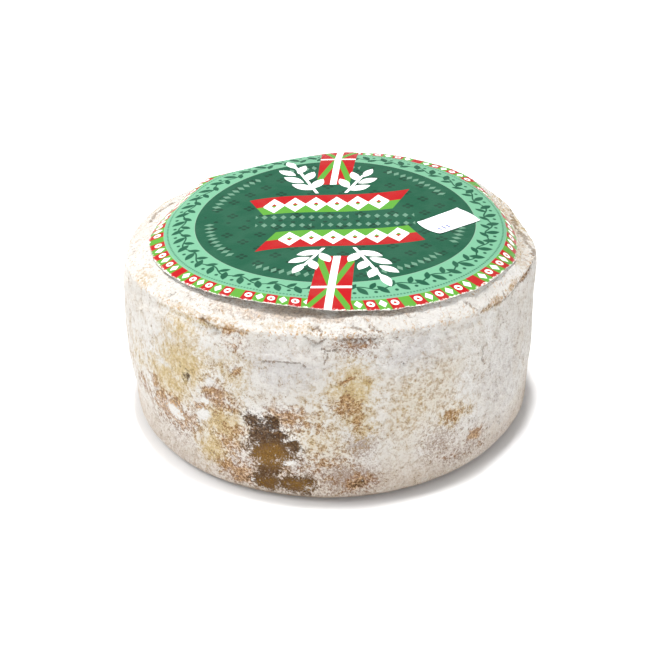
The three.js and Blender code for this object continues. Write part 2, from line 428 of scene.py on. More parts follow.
stains = {
    "ochre": blots(OCHRE),
    "rust_and_painted_shadow": blots(RUST_AND_PAINTED_SHADOW),
    "bruise": blots(BRUISE),
    "gold": blots(GOLD),
    "mauve": blots(MAUVE),
    "cool": blots(COOL),
    "white": blots(WHITE),
    "curds": blots(CURDS),
}
print({name: round(float(mask.mean()), 3) for name, mask in stains.items()})

# %% [markdown]
# ## The shoulder's edge and the cracks
#
# Where the side turns into the top, the rind has a hard edge that is chipped and
# brown in places. Cracks and a lifted flake are lines of corners. The distance to
# the nearest line cuts a groove and raises the lip beside it.

# %% Shoulder line and cracks
shoulder_at = 84.3 - 3.6 * smoothstep(-72, -34, turn_between(angle_deg, 0))
shoulder_at = shoulder_at + 2.4 * smoothstep(0, 60, turn_between(angle_deg, 0))
shoulder_at = shoulder_at - 1.2 * smoothstep(120, 180, turn_between(angle_deg, 0))
shoulder_at = shoulder_at + 1.3 * layered_noise(plain * (1, 1, 0.2), 14, 3, 60)
above_line = height - shoulder_at

CRACKS = [
    # corners as (angle, height), depth in millimetres, rise of the lip above it
    ([(-125, 85.6), (-122.6, 84.2), (-119.6, 81.8)], 0.9, 0.9),
    ([(-107.5, 72.3), (-104, 72.9), (-100.5, 73.3), (-97.6, 73.2), (-96.4, 71.8)], 0.7, 0.35),
    ([(-96.2, 85), (-94.6, 83.2), (-93.4, 82.2), (-91.2, 84.8)], 0.9, 0.5),
    ([(-94.8, 87), (-93.3, 88.6), (-92.2, 87.2), (-92.6, 85.6)], 0.5, 0.3),
    ([(-92.4, 80.6), (-90.4, 79.4), (-88.2, 80.2)], 0.5, 0.2),
    ([(-91.6, 74), (-90.7, 77), (-91.4, 79)], 0.4, 0.1),
    ([(-87.5, 84.6), (-83, 84.2), (-78.5, 83.8)], 0.7, 0.4),
    ([(-46.4, 65), (-45.6, 62), (-46.2, 58.6), (-45.2, 54.4)], 0.5, 0.1),
    ([(-71.2, 69.8), (-71.8, 70.6)], 0.6, 0.0),
    ([(-73, 82.4), (-72, 80.8)], 0.8, 0.0),
    ([(-51, 88.5), (-49, 85.5), (-47.6, 83)], 0.6, 0.2),
    ([(-80, 88.2), (-78, 86.4), (-76.4, 85.2)], 0.5, 0.2),
    ([(-84.5, 89), (-82, 87.4), (-80.5, 85.8)], 0.5, 0.2),
    ([(-137.8, 90), (-139, 88)], 0.7, 0.2),
    ([(-99.6, 33.6), (-98.4, 31), (-98.8, 27.4)], 0.5, 0.1),
    ([(-128, 35), (-127.4, 31.5)], 0.5, 0.1),
    ([(30, 83), (36, 81), (44, 82)], 0.8, 0.5),
    ([(88, 74), (96, 75.5), (101, 74)], 0.7, 0.4),
    ([(150, 85), (158, 83.4), (165, 84)], 0.8, 0.6),
    ([(118, 60), (119, 54), (117.6, 49)], 0.5, 0.2),
]
crack = np.zeros_like(height)
groove = np.zeros_like(height)
for corners, depth, lip in CRACKS:
    distance = line_distance(corners)
    above = smoothstep(-0.4, 1.2, height - np.mean([z for _, z in corners]))
    crack = np.maximum(crack, np.exp(-((distance / 0.75) ** 2)))
    groove = groove - depth * np.exp(-((distance / 0.9) ** 2))
    groove = groove + lip * above * np.exp(-(((distance - 1.6) / 1.5) ** 2))

# The right shoulder has one long ragged crack along its edge, with short side cracks.
ragged_at = shoulder_at - 0.4 + 0.9 * layered_noise(plain * (1, 1, 0), 4, 2, 70)
on_right = smoothstep(-50, -42, angle_deg) * smoothstep(34, 20, angle_deg)
ragged = np.exp(-(((height - ragged_at) / 0.8) ** 2)) * on_right
side_cracks = smoothstep(0.72, 0.95, np.sin(angle_deg * 1.9 + 3 * layered_noise(plain, 9, 2, 71)))
side_cracks = side_cracks * smoothstep(-0.5, 0.6, above_line) * smoothstep(5.5, 2, above_line)
crack = np.maximum(crack, np.maximum(ragged, 0.8 * side_cracks * on_right))
groove = groove - 0.5 * ragged - 0.35 * side_cracks * on_right
print("cracks cut:", len(CRACKS), "deepest groove", round(float(groove.min()), 2), "mm")

# %% [markdown]
# ## Relief, and the rind's mesh
#
# The relief is a sum of layers: lumps from handling, wrinkles, curd-like bumps, the
# hard roll at the shoulder's edge and the flakes along it, less what the damp has
# eaten away. It fades out at the foot and under the paper. A map laid out on the
# mesh gives flat room for the finish: the side as two strips, the foot
# and the top as discs.

# %% Add the relief in millimetres
lumps = 0.42 * layered_noise(plain, 26, 2, 1) + 0.22 * layered_noise(plain, 10, 2, 3)
wrinkles = 0.2 * layered_noise(plain, 4.6, 2, 5) + 0.1 * smooth_noise(plain, 1.9, 7)
curd_bumps = 0.36 * ridged_noise(plain, 4.2, 2, 9) * stains["curds"]
edge_roll = 0.9 * np.exp(-(((above_line - 0.9) / 1.9) ** 2))
edge_roll = edge_roll - 0.15 * np.exp(-(((above_line + 2.6) / 2.4) ** 2))
flakes = 0.4 * ridged_noise(plain, 6.5, 3, 11) * np.exp(-((above_line / 5.0) ** 2))
eaten = 0.45 * stains["bruise"] + 0.25 * stains["rust_and_painted_shadow"] - 0.35 * stains["white"]
scar = 0.7 * blot(-47.4, 18.6, 1.6, 2.4) + 0.9 * blot(-131, 55.5, 1.0, 2.2)
rim_lumps = 0.45 * layered_noise(plain, 5.5, 2, 15) * smoothstep(-1, 2, above_line)
relief = lumps + wrinkles + curd_bumps + edge_roll + flakes + rim_lumps + groove - eaten - scar
open_wall = smoothstep(0.3, 5, height)
clear_of_label = smoothstep(RIM_RADIUS - 6, RIM_RADIUS + 1, turned_r)
relief = relief * open_wall * (0.25 + 0.75 * clear_of_label)
rind_points = plain + normals * relief[..., None]

# The top stays under the paper, and the foot stays flat on the floor.
wheel_place = rind_points + MIDDLE
ceiling = rind_limit(wheel_place[..., 0], wheel_place[..., 1])
lifted = rind_points[..., 2] - soft_ramp(rind_points[..., 2] - ceiling, 0.25)
rind_points[..., 2] = np.where(turned_z > SHOULDER_Z, lifted, rind_points[..., 2])
rind_points[..., 2] = np.maximum(rind_points[..., 2], 0)
print("relief in millimetres:", relief.min().round(2), "to", relief.max().round(2))


# %% Helpers that make a wrapped mesh, its map and its attributes
def wrapped_mesh(name, points):
    """A mesh from a grid that closes round Z, whose first and last rows are points."""
    row_count, column_count = points.shape[:2]
    inner = points[1:-1].reshape(-1, 3)
    places = np.concatenate([points[:1, 0], inner, points[-1:, 0]]) * MM
    column = np.arange(column_count)
    following = (column + 1) % column_count
    faces = []
    last = len(places) - 1
    for index in range(row_count - 3):
        low = 1 + index * column_count
        high = low + column_count
        quads = np.stack([low + column, low + following, high + following, high + column], 1)
        faces += quads.tolist()
    foot_fan = np.stack([np.zeros_like(column), 1 + following, 1 + column], 1)
    first_top = 1 + (row_count - 3) * column_count
    top_fan = np.stack([first_top + column, first_top + following, np.full_like(column, last)], 1)
    faces = foot_fan.tolist() + faces + top_fan.tolist()
    mesh = bpy.data.meshes.new(name)
    mesh.from_pydata(places.tolist(), [], faces)
    mesh.shade_smooth()
    return mesh


def lay_out_flat(mesh, row_count, column_count, place):
    """Adds the flat map named OFBake, from the place of each corner."""
    left = np.arange(column_count)
    right = left + 1
    corners = []
    for band in range(row_count - 1):
        low_left = place(band, band, left, left)
        low_right = place(band, band, right, left)
        high_left = place(band, band + 1, left, left)
        high_right = place(band, band + 1, right, left)
        face = [low_left, low_right, high_right, high_left]
        if band == 0:
            face = [low_left, high_right, high_left]
        if band == row_count - 2:
            face = [low_left, low_right, high_left]
        corners.append(np.stack(face, 1).reshape(-1, 2))
    layer = mesh.uv_layers.new(name="OFBake")
    layer.uv.foreach_set("vector", np.concatenate(corners).astype(np.float32).ravel())


def keep_on_mesh(mesh, name, grid):
    """Keeps one number for each point of the grid, for a material to read."""
    values = np.concatenate([grid[:1, 0], grid[1:-1].ravel(), grid[-1:, 0]])
    attribute = mesh.attributes.new(name, "FLOAT", "POINT")
    attribute.data.foreach_set("value", values.astype(np.float32))


def place_piece(name, mesh, node):
    """Puts a finished mesh in the scene in place of its solid."""
    piece = bpy.data.objects.new(name, mesh)
    bpy.context.scene.collection.objects.link(piece)
    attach(piece, "root")
    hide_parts(node)
    return piece


# %% Make the rind
rind_mesh = wrapped_mesh("rind", rind_points)
stains["crack"] = crack
stains["above"] = above_line
stains["height"] = height
for name, mask in stains.items():
    keep_on_mesh(rind_mesh, name, mask)

# The side of the drum is the bands from FIRST_BAND to LAST_BAND, and climb runs from
# 0 to 1 up it.
FIRST_BAND = int(np.argmax(rows[:, 0] >= FOOT_RADIUS))
LAST_BAND = int(np.argmax((rows[:, 0] < RIM_RADIUS) & (rows[:, 1] >= RIM_Z)))
row_step = np.hypot(*np.diff(rows, axis=0).T)
climb = np.concatenate([[0.0], np.cumsum(row_step)])
climb = (climb - climb[FIRST_BAND]) / (climb[LAST_BAND] - climb[FIRST_BAND])
print("side of the map: bands", FIRST_BAND, "to", LAST_BAND)


def rind_corner(band, row, column, face_column):
    """The side as two long strips, with the foot and the top as discs below them."""
    half = COLUMNS // 2
    if FIRST_BAND <= band < LAST_BAND:
        second = face_column >= half
        across = 0.004 + 0.992 * (column - second * half) / half
        return np.stack([across, 0.37 + 0.315 * second + 0.305 * climb[row] + 0 * column], 1)
    middle = 0.19 if band < FIRST_BAND else 0.57
    turn = column * 2 * math.pi / COLUMNS
    reach = rows[row, 0] * 0.0019
    return np.stack([middle + reach * np.cos(turn), 0.18 + reach * np.sin(turn)], 1)


lay_out_flat(rind_mesh, len(rows), COLUMNS, rind_corner)
place_piece("rind", rind_mesh, "cheese_wheel")
print("rind faces:", len(rind_mesh.polygons))

# %% [markdown]
# ## The paper label
#
# The label is one disc of thin coated paper. It was laid on the wet rind, so it
# follows the top, folds down over the shoulder in places and lifts off at the front.
# A cloth simulation could drape it, but the paper hardly stretches and its folds are
# known, so each point is simply carried from the flat sheet to its place. The flat
# place of each point stays on the mesh, and the print is drawn from it.

# %% Paper disc, laid on the cheese
PAPER_THICKNESS = 0.26
PAPER_LIFT = 0.12  # keeps the paper's underside clear of the rind
LABEL_COLUMNS = 540


def label_rings():
    """Radii of the rings, closer together towards the edge."""
    return np.concatenate([np.linspace(0, 64, 17), np.linspace(66, LABEL_RADIUS, 36)])


rings = label_rings()
paper_turn = np.linspace(-math.pi, math.pi, LABEL_COLUMNS, endpoint=False)
ring = np.repeat(rings[:, None], LABEL_COLUMNS, 1)
bearing = np.repeat(paper_turn[None], len(rings), 0)
edge_share = smoothstep(72, LABEL_RADIUS, ring)
unit = np.stack([np.cos(bearing), np.sin(bearing), np.zeros_like(bearing)], -1)

# The cut is a little torn and fibrous, so the outermost rings wander in and out.
cut_line = unit * LABEL_RADIUS
torn = 0.45 * layered_noise(cut_line, 5, 2, 80) + 0.3 * layered_noise(cut_line, 1.4, 2, 85)
torn = torn * smoothstep(LABEL_RADIUS - 2.5, LABEL_RADIUS, ring)
flat_u = (ring + torn) * unit[..., 0]
flat_v = (ring + torn) * unit[..., 1]
laid_x, laid_y, laid_z = lay_paper(flat_u, flat_v)
ripple = 0.38 * layered_noise(cut_line, 16, 2, 90) * edge_share**1.5
ripple = ripple + 0.12 * layered_noise(np.stack([flat_u, flat_v, 0 * ring], -1), 24, 2, 95)
under_side = np.stack(
    [laid_x + LABEL_CENTRE[0], laid_y + LABEL_CENTRE[1], laid_z + PAPER_LIFT + ripple], -1
) - MIDDLE
upper_side = under_side + (0, 0, PAPER_THICKNESS)
label_points = np.concatenate([under_side, upper_side[::-1]])
label_mesh = wrapped_mesh("paper_disc", label_points)
both_u = np.concatenate([flat_u, flat_u[::-1]])
both_v = np.concatenate([flat_v, flat_v[::-1]])
upper = np.concatenate([np.zeros_like(ring), np.ones_like(ring)])
keep_on_mesh(label_mesh, "across", both_u)
keep_on_mesh(label_mesh, "up", both_v)
keep_on_mesh(label_mesh, "printed_side", upper)
print("label grid:", len(label_points), "rings by", LABEL_COLUMNS, "columns")


def label_corner(band, row, column, face_column):
    """The printed side as one large disc and the underside as a small one."""
    turn = column * 2 * math.pi / LABEL_COLUMNS
    last = len(rings) - 1
    if band < last:
        reach = rings[row] * 0.001
        return np.stack([0.9 + reach * np.cos(turn), 0.1 + reach * np.sin(turn)], 1)
    reach = (rings[2 * last + 1 - row] if row > last else LABEL_RADIUS + 0.9) * 0.0044
    return np.stack([0.405 + reach * np.cos(turn), 0.595 + reach * np.sin(turn)], 1)


lay_out_flat(label_mesh, len(label_points), LABEL_COLUMNS, label_corner)
place_piece("label", label_mesh, "paper_label")
print("label faces:", len(label_mesh.polygons))

# %% [markdown]
# ## The price sticker
#
# A plain white sticker, cut from a roll, so two of its ends bulge in soft waves. It
# is a small grid bent onto the label, with its corners just lifting.

# %% Sticker bent onto the label
STICKER_LENGTH = 26.0
STICKER_WIDTH = 16.0
STICKER_AT = (54.0, -3.3)
STICKER_TURN = math.radians(38.5)
STICKER_BULGE = 1.3
STICKER_LIFT = (0.22, 0.38)  # its underside and its top, over the label
CORNER_CURL = 0.35
LONG_CELLS = 52
WIDE_CELLS = 32


def sticker_surface(lift):
    """The sticker's points at one height over the label."""
    along, wide = np.meshgrid(
        np.linspace(-STICKER_LENGTH / 2, STICKER_LENGTH / 2, LONG_CELLS + 1),
        np.linspace(-STICKER_WIDTH / 2, STICKER_WIDTH / 2, WIDE_CELLS + 1),
        indexing="ij",
    )
    endwise = along / (STICKER_LENGTH / 2)
    bulge = STICKER_BULGE * np.sin(np.pi * (wide / STICKER_WIDTH + 0.5)) * endwise
    run = along + bulge * np.abs(endwise)
    u = STICKER_AT[0] + run * math.cos(STICKER_TURN) - wide * math.sin(STICKER_TURN)
    v = STICKER_AT[1] + run * math.sin(STICKER_TURN) + wide * math.cos(STICKER_TURN)
    corner = (np.abs(endwise) * np.abs(wide / (STICKER_WIDTH / 2))) ** 5
    z = label_underside(u, v) + PAPER_LIFT + PAPER_THICKNESS + lift + CORNER_CURL * corner
    points = np.stack([u + LABEL_CENTRE[0], v + LABEL_CENTRE[1], z], -1) - MIDDLE
    return points, along, wide


def sheet_mesh(name, under, over):
    """A closed thin sheet from two grids of points."""
    long_count, wide_count = under.shape[:2]
    count = long_count * wide_count
    number = np.arange(count).reshape(long_count, wide_count)
    lower = [number[:-1, :-1], number[:-1, 1:], number[1:, 1:], number[1:, :-1]]
    faces = np.stack(lower, -1).reshape(-1, 4).tolist()
    faces += (np.stack(lower[::-1], -1).reshape(-1, 4) + count).tolist()
    rim = np.concatenate([number[0, :-1], number[:-1, -1], number[-1, :0:-1], number[:0:-1, 0]])
    after = np.roll(rim, -1)
    faces += np.stack([rim, rim + count, after + count, after], 1).tolist()
    mesh = bpy.data.meshes.new(name)
    mesh.from_pydata((np.concatenate([under, over]).reshape(-1, 3) * MM).tolist(), [], faces)
    mesh.shade_smooth()
    return mesh


sticker_under, sticker_along, sticker_wide = sticker_surface(STICKER_LIFT[0])
sticker_over, _, _ = sticker_surface(STICKER_LIFT[1])
sticker_mesh = sheet_mesh("sticker_sheet", sticker_under, sticker_over)
for name, grid in {"along": sticker_along, "wide": sticker_wide}.items():
    attribute = sticker_mesh.attributes.new(name, "FLOAT", "POINT")
    doubled = np.concatenate([grid.ravel(), grid.ravel()])
    attribute.data.foreach_set("value", doubled.astype(np.float32))
place_piece("sticker", sticker_mesh, "price_sticker")
print("sticker faces:", len(sticker_mesh.polygons))

# %% [markdown]
# ## Arithmetic with nodes
#
# The rind's stains and the label's print are patterns worked out at each point of
# the surface. In the shader editor that means many small Math nodes. A helper class
# lets a script write them as plain sums, so `a * 2 + b` lays out two Math nodes.

# %% A value in a node tree that can be added, multiplied and compared
class Wire:
    """One value in a node tree. Sums with it lay out Math nodes."""

    def __init__(self, tree, socket):
        self.tree = tree
        self.socket = socket

    def maths(self, operation, *others):
        node = self.tree.nodes.new("ShaderNodeMath")
        node.operation = operation
        for entry, value in zip(node.inputs, (self, *others)):
            plug(self.tree, entry, value)
        return Wire(self.tree, node.outputs[0])

    def __add__(self, other):
        return self.maths("ADD", other)

    def __sub__(self, other):
        return self.maths("SUBTRACT", other)

    def __mul__(self, other):
        return self.maths("MULTIPLY", other)

    def __truediv__(self, other):
        return self.maths("DIVIDE", other)

    def size(self):
        return self.maths("ABSOLUTE")

    def reach(self, other):
        """Length of the arrow whose two parts are these."""
        return (self * self + other * other).maths("SQRT")

    def inside(self, limit, blur):
        """1 where the value is under the limit, 0 over it, with a soft edge."""
        return soft_step(self, limit + blur, limit - blur)


def plug(tree, entry, value):
    """Joins a wire to a socket, or sets the socket to a plain number or colour."""
    if isinstance(value, Wire):
        tree.links.new(value.socket, entry)
    else:
        entry.default_value = value


def soft_step(value, low, high, start=0.0, end=1.0):
    """Runs smoothly from start to end as the value goes from low to high."""
    node = value.tree.nodes.new("ShaderNodeMapRange")
    node.interpolation_type = "SMOOTHSTEP"
    for entry, number in zip(node.inputs, (value, low, high, start, end)):
        plug(value.tree, entry, number)
    return Wire(value.tree, node.outputs["Result"])


def blend(mask, below, above):
    """The colour above laid over the colour below where the mask is 1."""
    node = mask.tree.nodes.new("ShaderNodeMix")
    node.data_type = "RGBA"
    plug(mask.tree, node.inputs["Factor"], mask)
    plug(mask.tree, node.inputs["A"], below)
    plug(mask.tree, node.inputs["B"], above)
    return Wire(mask.tree, node.outputs["Result"])


def stored(tree, name):
    """A number kept on the mesh."""
    node = tree.nodes.new("ShaderNodeAttribute")
    node.attribute_name = name
    return Wire(tree, node.outputs["Fac"])


def grain(tree, place, scale, detail=3.0, roughness=0.55, distortion=0.0):
    """Noise spread evenly from 0 to 1. The scale is in lumps per millimetre."""
    node = tree.nodes.new("ShaderNodeTexNoise")
    plug(tree, node.inputs["Vector"], place)
    node.inputs["Scale"].default_value = scale
    node.inputs["Detail"].default_value = detail
    node.inputs["Roughness"].default_value = roughness
    node.inputs["Distortion"].default_value = distortion
    return soft_step(Wire(tree, node.outputs["Fac"]), 0.26, 0.74)


def place_in_mm(tree, stretch=(1.0, 1.0, 1.0)):
    """The point's place on the piece in millimetres, stretched if wanted."""
    source = tree.nodes.new("ShaderNodeTexCoord")
    node = tree.nodes.new("ShaderNodeVectorMath")
    node.operation = "MULTIPLY"
    tree.links.new(source.outputs["Object"], node.inputs[0])
    node.inputs[1].default_value = [part / MM for part in stretch]
    return Wire(tree, node.outputs[0])


def paint(red, green, blue):
    """A colour from the usual 0 to 255 numbers, as the linear colour that nodes use."""
    linear = []
    for part in (red, green, blue):
        share = part / 255
        linear.append(share / 12.92 if share <= 0.04045 else ((share + 0.055) / 1.055) ** 2.4)
    return (*linear, 1.0)


print("a paint-chip white in linear numbers:", [round(part, 3) for part in paint(244, 241, 234)])

# %% [markdown]
# ## Effects that several finishes share
#
# An effect that more than one material uses is a node group, built once. Three are
# needed here. One gives a soft zone a ragged edge, as stains and torn paper have. One
# is the faint fibre of paper. One draws a pointed leaf or lozenge, which the label's
# print repeats many times.

# %% Build the shared node groups
def new_group(name, inputs, outputs):
    """An empty node group with named sockets, and wires from its inputs."""
    group = bpy.data.node_groups.new(name, "ShaderNodeTree")
    for label_text, kind, value in inputs:
        entry = group.interface.new_socket(name=label_text, in_out="INPUT", socket_type=kind)
        if value is not None:
            entry.default_value = value
    for label_text, kind in outputs:
        group.interface.new_socket(name=label_text, in_out="OUTPUT", socket_type=kind)
    enter = group.nodes.new("NodeGroupInput")
    leave = group.nodes.new("NodeGroupOutput")
    wires = {text: Wire(group, enter.outputs[text]) for text, _, _ in inputs}
    return group, wires, leave


def use_group(tree, group, **values):
    """Places a node group in a tree, sets its inputs and returns its outputs."""
    node = tree.nodes.new("ShaderNodeGroup")
    node.node_tree = group
    for name, value in values.items():
        plug(tree, node.inputs[name.replace("_", " ")], value)
    return {entry.name: Wire(tree, entry) for entry in node.outputs}


FLOAT = "NodeSocketFloat"
ragged_edge, given, leave = new_group(
    "ragged edge",
    [("Zone", FLOAT, 0.0), ("Noise", FLOAT, 0.5), ("Wander", FLOAT, 1.0),
     ("Start", FLOAT, 0.4), ("End", FLOAT, 0.6)],
    [("Mask", FLOAT)],
)
wandering = given["Zone"] + (given["Noise"] - 0.5) * given["Wander"]
plug(ragged_edge, leave.inputs["Mask"], soft_step(wandering, given["Start"], given["End"]))

paper_fibre, given, leave = new_group(
    "paper fibre",
    [("Place", "NodeSocketVector", None), ("Depth", FLOAT, 1.0)],
    [("Shade", FLOAT), ("Height", FLOAT)],
)
fibres = grain(paper_fibre, given["Place"], 2.2, 5, 0.7, 0.6)
clouds = grain(paper_fibre, given["Place"], 0.09, 2)
plug(paper_fibre, leave.inputs["Shade"], fibres * 0.4 + clouds * 0.6)
plug(paper_fibre, leave.inputs["Height"], (fibres - 0.5) * given["Depth"])

leaf_shape, given, leave = new_group(
    "leaf shape",
    [("Across", FLOAT, 0.0), ("Up", FLOAT, 0.0), ("Centre Across", FLOAT, 0.0),
     ("Centre Up", FLOAT, 0.0), ("Turn", FLOAT, 0.0), ("Length", FLOAT, 8.0),
     ("Width", FLOAT, 3.0), ("Edge", FLOAT, 0.18)],
    [("Mask", FLOAT)],
)
leaf_x = given["Across"] - given["Centre Across"]
leaf_y = given["Up"] - given["Centre Up"]
turn_cos = given["Turn"].maths("COSINE")
turn_sin = given["Turn"].maths("SINE")
leaf_along = (leaf_x * turn_cos + leaf_y * turn_sin) / (given["Length"] * 0.5)
leaf_wide = leaf_y * turn_cos - leaf_x * turn_sin
half_width = (leaf_along * leaf_along) * -1.0 + 1.0
room = half_width * given["Width"] * 0.5 - leaf_wide.size()
plug(leaf_shape, leave.inputs["Mask"], soft_step(room, given["Edge"] * -1.0, given["Edge"]))
print("node groups:", [group.name for group in bpy.data.node_groups])

# %% [markdown]
# ## The rind's finish
#
# A natural rind is a brown crust under a white bloom of mould. Where the bloom is
# thin the ochre crust shows as speckle, and where damp sat on the cheese the bloom
# is gone and the crust is dark and a little shiny. So the material starts from the
# white bloom and lays each stain over it. Each stain's mask is its zone on the mesh
# plus fine noise, cut off sharply, which gives crisp islands at the edge of a zone.

# %% Material for the rind
def new_material(name):
    """A material with a Principled shader, and its tree."""
    material = bpy.data.materials.new(name)
    material.use_nodes = True
    tree = material.node_tree
    return material, tree, tree.nodes["Principled BSDF"]


def ragged(tree, zone, noise, wander, start, end):
    """The ragged edge group, in one call."""
    values = {"Zone": zone, "Noise": noise, "Wander": wander, "Start": start, "End": end}
    return use_group(tree, ragged_edge, **values)["Mask"]


def rind_material():
    """White bloom over an ochre crust, stained, speckled and cracked."""
    material, tree, shader = new_material("bloomy_rind")
    place = place_in_mm(tree)
    upright = place_in_mm(tree, (1.0, 1.0, 0.45))
    level = place_in_mm(tree, (0.5, 0.5, 1.25))
    broad = grain(tree, place, 0.06, 3)
    patches = grain(tree, place, 0.26, 5, 0.62, 0.5)
    streaks = grain(tree, upright, 0.5, 5, 0.68, 0.5)
    level_streaks = grain(tree, level, 0.55, 4, 0.65, 0.3)
    speckle = grain(tree, place, 0.8, 4, 0.7, 0.3)
    grit = grain(tree, place, 2.2, 3, 0.65)
    folds = (speckle * 0.6 + patches * 0.4 - 0.5).size()
    zone = {name: stored(tree, name) for name in stains}
    below_edge = soft_step(zone["above"], 0.8, -1.0)
    on_top = below_edge * -1.0 + 1.0
    low = soft_step(zone["height"], 30.0, 3.0)
    crumbs = patches * 0.45 + speckle * 0.35 + grit * 0.2

    # Bloom: nearly white where it is thick, warm grey where it is thin.
    colour = blend(broad, paint(246, 243, 238), paint(238, 233, 225))
    thin = soft_step(crumbs, 0.4, 0.8)
    colour = blend(thin * below_edge * 0.5, colour, paint(216, 204, 187))
    # The lower wall is tinted darker and warmer towards the foot.
    colour = blend(low * below_edge * (speckle * 0.6 + 0.2), colour, paint(204, 180, 156))
    creases = folds.inside(0.035, 0.03) * soft_step(patches, 0.35, 0.65)
    colour = blend(creases * below_edge * 0.3, colour, paint(176, 150, 120))

    # Cool grey bloom, and the creamy curd-like wall with tan in its hollows.
    cool = ragged(tree, zone["cool"], patches, 0.8, 0.1, 0.9)
    colour = blend(cool * 0.7, colour, paint(220, 216, 214))
    curd_pits = soft_step(speckle * 0.55 + patches * 0.45, 0.42, 0.7)
    cream = ragged(tree, zone["curds"], broad, 0.4, 0.05, 0.9)
    colour = blend(cream * below_edge * 0.5, colour, paint(234, 222, 198))
    colour = blend(curd_pits * cream * below_edge * 0.65, colour, paint(190, 160, 126))
    mauve = ragged(tree, zone["mauve"] * 1.1, speckle * 0.5 + grit * 0.5, 1.5, 0.2, 0.9)
    colour = blend(mauve * 0.8, colour, paint(160, 132, 114))

    # Ochre and rust, which break up into islands. The rust mask also holds a painted shadow under
    # the label's lifted front edge.
    ochre_grain = patches * 0.35 + streaks * 0.2 + speckle * 0.25 + grit * 0.2
    ochre = ragged(tree, zone["ochre"], ochre_grain, 1.6, 0.1, 0.9)
    ochre_colour = blend(streaks * 0.4 + speckle * 0.6, paint(236, 220, 172), paint(194, 156, 84))
    colour = blend(ochre * below_edge * 0.9, colour, ochre_colour)
    colour = blend(ochre * on_top * soft_step(speckle, 0.5, 0.7) * 0.8, colour, ochre_colour)
    rust_and_shadow_grain = speckle * 0.35 + patches * 0.45 + grit * 0.2
    rust_and_painted_shadow = ragged(tree, zone["rust_and_painted_shadow"] * 1.05, rust_and_shadow_grain, 1.8, 0.2, 0.92)
    deep = soft_step(speckle * 0.6 + grit * 0.4, 0.25, 0.7)
    rust_and_shadow_colour = blend(deep, paint(224, 184, 134), paint(128, 76, 32))
    colour = blend(rust_and_painted_shadow * (on_top * -0.45 + 0.85), colour, rust_and_shadow_colour)

    # Bare damp crust, with a golden middle.
    bruise_grain = patches * 0.4 + speckle * 0.4 + grit * 0.2
    bruise = ragged(tree, zone["bruise"], bruise_grain, 1.3, 0.2, 0.7)
    bruise_colour = blend(soft_step(speckle, 0.1, 0.75), paint(118, 82, 38), paint(50, 29, 9))
    gold = ragged(tree, zone["gold"], speckle, 0.9, 0.2, 0.7)
    bruise_colour = blend(gold, bruise_colour, blend(grit, paint(164, 120, 36), paint(84, 52, 10)))
    colour = blend(bruise * 0.96, colour, bruise_colour)

    # Small dark flecks, thickest near the shoulder's edge and in the stains, and thin
    # golden lines where the rind is crinkled on the rim.
    near_edge = soft_step((zone["above"] + 0.6).size(), 4.5, 0.5)
    stained = zone["rust_and_painted_shadow"] * 0.4 + zone["ochre"] * 0.2 + near_edge * 0.3 + zone["mauve"] * 0.3
    flecks = soft_step(grit * 0.5 + speckle * 0.5 + stained * 0.22, 0.8, 0.92)
    colour = blend(flecks * (on_top * -0.25 + 0.75), colour, paint(128, 98, 68))
    crinkles = folds.inside(0.045, 0.03) * soft_step(zone["ochre"], 0.2, 0.6) * on_top
    colour = blend(crinkles * 0.55, colour, paint(198, 152, 84))
    golden = soft_step(streaks * 0.5 + speckle * 0.5 + near_edge * 0.12, 0.7, 0.8)
    colour = blend(golden * on_top * 0.6, colour, paint(206, 160, 92))

    # White islands of thick bloom, then the cracks and the darkened foot.
    islands = ragged(tree, zone["white"], speckle, 0.9, 0.3, 0.55)
    colour = blend(islands, colour, paint(246, 243, 238))
    cracks = ragged(tree, zone["crack"], speckle, 0.9, 0.45, 0.9)
    colour = blend(cracks * 0.6, colour, paint(118, 92, 64))
    # The foot's dark brown is partly the rind's brown bottom edge and partly painted contact shade
    # from the floor.
    foot = soft_step(zone["height"] + (speckle - 0.5) * 3.0, 4.0, 1.2)
    colour = blend(foot * 0.8, colour, paint(120, 88, 54))
    plug(tree, shader.inputs["Base Color"], colour)

    damp = bruise * -0.38 + 0.86
    plug(tree, shader.inputs["Roughness"], damp + (speckle - 0.5) * 0.15)
    shader.inputs["Specular IOR Level"].default_value = 0.18

    bump = tree.nodes.new("ShaderNodeBump")
    bump.inputs["Distance"].default_value = MM
    bump.inputs["Strength"].default_value = 1.0
    relief_height = patches * 0.75 + speckle * 1.05 + grit * 0.4 + level_streaks * 0.2
    relief_height = relief_height - bruise * 0.25 - cracks * 0.5 + islands * 0.2 - creases * 0.15
    plug(tree, bump.inputs["Height"], relief_height)
    tree.links.new(bump.outputs["Normal"], shader.inputs["Normal"])
    return material


rind_mesh.materials.append(rind_material())
print("rind nodes:", len(rind_mesh.materials[0].node_tree.nodes))

# %% [markdown]
# ## The label's print
#
# The print is drawn from each point's place on the flat sheet. The half nearest the
# front is the back half turned upside down, so one drawing serves for both. The
# layout is a dark green disc with two ribbons, a mint ring and a striped border, and
# everything that could be read on such a label is a plain ornament here: lozenges,
# dots, leaves and sprigs.

# %% Colours of the inks
INK = {
    "dark": paint(20, 73, 52), "floret": paint(14, 52, 36), "mint": paint(101, 154, 124),
    "red": paint(156, 9, 17), "green": paint(78, 138, 42), "white": paint(240, 240, 238),
    "pale": paint(90, 126, 106), "paper": paint(222, 219, 212),
}


def leaf(tree, across, up, centre, turn, length, width):
    """One leaf of the print."""
    values = {
        "Across": across, "Up": up, "Centre Across": centre[0], "Centre Up": centre[1],
        "Turn": math.radians(turn), "Length": length, "Width": width,
    }
    return use_group(tree, leaf_shape, **values)["Mask"]


def lozenge(x, y, half_x, half_y, blur=0.12):
    """A diamond about the origin of x and y."""
    return (x.size() / half_x + y.size() / half_y).inside(1.0, blur)


